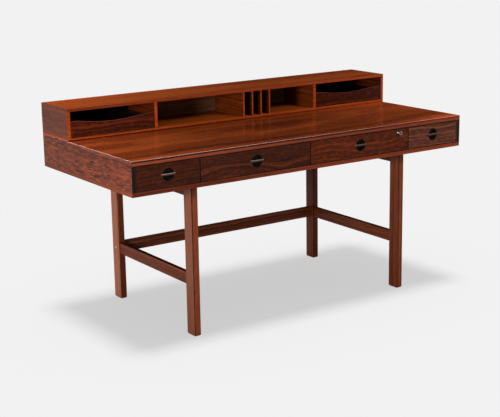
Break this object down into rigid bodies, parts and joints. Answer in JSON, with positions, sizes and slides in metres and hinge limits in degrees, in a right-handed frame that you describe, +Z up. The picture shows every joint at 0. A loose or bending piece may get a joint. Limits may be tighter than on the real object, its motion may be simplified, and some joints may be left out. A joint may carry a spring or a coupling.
{
  "type": "executive desk",
  "caption": "Rosewood writing desk on two leg frames with a row of drawers, a lock and a shelf gallery that flips over the rear edge.",
  "frame": {"origin": "middle of the object's footprint, on the floor", "axes": "+X along the desk's width, to the right of a person who sits at it; +Y from the front to the back; +Z up"},
  "size_m": [1.64, 0.7818, 0.8785],
  "materials": {
    "rosewood_top": "satin lacquer",
    "rosewood_edge": "satin lacquer",
    "rosewood_side": "satin lacquer",
    "rosewood_dark": "satin lacquer",
    "rosewood_frame": "satin lacquer",
    "rosewood_pull": "satin lacquer",
    "pale_wood": "matt lacquer",
    "brass": "satin",
    "steel": "brushed",
    "dark_steel": "browned",
    "nickel": "polished nickel",
    "felt": "felt"
  },
  "bodies": {
    "desk": {"case_top": "rosewood_top", "case_bottom": "rosewood_edge", "case_side_left": "rosewood_side", "case_side_right": "rosewood_side", "case_back": "rosewood_side", "partitions": "rosewood_dark", "drawer_runners": "pale_wood", "hinge_leaves_case": "brass", "hinge_pins": "brass", "hinge_screws_case": "brass", "back_buffers": "felt", "leg_front_left": "rosewood_frame", "leg_front_right": "rosewood_frame", "leg_rear_left": "rosewood_frame", "leg_rear_right": "rosewood_frame", "top_rail_left": "rosewood_frame", "top_rail_right": "rosewood_frame", "side_stretcher_left": "rosewood_frame", "side_stretcher_right": "rosewood_frame", "back_stretcher": "rosewood_frame", "stretcher_bolts": "brass", "barrel_nuts": "brass", "frame_screws": "steel"},
    "gallery": {"gallery_bottom": "rosewood_edge", "gallery_top": "rosewood_top", "gallery_end_left": "rosewood_side", "gallery_end_right": "rosewood_side", "gallery_back": "rosewood_dark", "gallery_wall_left": "rosewood_edge", "gallery_wall_right": "rosewood_edge", "gallery_runners": "pale_wood", "letter_dividers": "rosewood_edge", "hinge_leaves_gallery": "brass", "hinge_screws_gallery": "brass"},
    "drawer_1": {"drawer_1_front": "rosewood_dark", "drawer_1_box": "pale_wood", "drawer_1_bottom": "pale_wood", "drawer_1_pull": "rosewood_pull"},
    "drawer_2": {"drawer_2_front": "rosewood_dark", "drawer_2_box": "pale_wood", "drawer_2_bottom": "pale_wood", "drawer_2_pull": "rosewood_pull"},
    "drawer_3": {"drawer_3_front": "rosewood_dark", "drawer_3_box": "pale_wood", "drawer_3_bottom": "pale_wood", "drawer_3_pull": "rosewood_pull", "lock_case": "dark_steel"},
    "drawer_4": {"drawer_4_front": "rosewood_dark", "drawer_4_box": "pale_wood", "drawer_4_bottom": "pale_wood", "drawer_4_pull": "rosewood_pull"},
    "lock_bolt": {"lock_bolt": "steel"},
    "key": {"lock_plug": "nickel", "key": "nickel"},
    "small_drawer_left": {"small_left_front": "rosewood_dark", "small_left_box": "rosewood_dark", "small_left_bottom": "rosewood_dark"},
    "small_drawer_right": {"small_right_front": "rosewood_dark", "small_right_box": "rosewood_dark", "small_right_bottom": "rosewood_dark"}
  },
  "joints": [
    {"name": "drawer_1_slide", "type": "slide", "parent": "desk", "child": "drawer_1", "axis": [0, -1, 0], "range_m": [0, 0.42]},
    {"name": "drawer_2_slide", "type": "slide", "parent": "desk", "child": "drawer_2", "axis": [0, -1, 0], "range_m": [0, 0.42]},
    {"name": "drawer_3_slide", "type": "slide", "parent": "desk", "child": "drawer_3", "axis": [0, -1, 0], "range_m": [0, 0.42]},
    {"name": "drawer_4_slide", "type": "slide", "parent": "desk", "child": "drawer_4", "axis": [0, -1, 0], "range_m": [0, 0.42]},
    {"name": "gallery_flip", "type": "hinge", "parent": "desk", "child": "gallery", "pos_m": [0, 0.3874, 0.747], "axis": [-1, 0, 0], "range_deg": [0, 180]},
    {"name": "small_left_slide", "type": "slide", "parent": "gallery", "child": "small_drawer_left", "axis": [0, -1, 0], "range_m": [0, 0.14]},
    {"name": "small_right_slide", "type": "slide", "parent": "gallery", "child": "small_drawer_right", "axis": [0, -1, 0], "range_m": [0, 0.14]},
    {"name": "key_turn", "type": "hinge", "parent": "drawer_3", "child": "key", "pos_m": [0.463, -0.3644, 0.7085], "axis": [0, -1, 0], "range_deg": [0, 90]},
    {"name": "bolt_lift", "type": "slide", "parent": "drawer_3", "child": "lock_bolt", "axis": [0, 0, 1], "range_m": [0, 0.008]}
  ],
  "couplings": [
    {"joint": "bolt_lift", "follows": "key_turn", "m_per_rad": 0.00509}
  ]
}
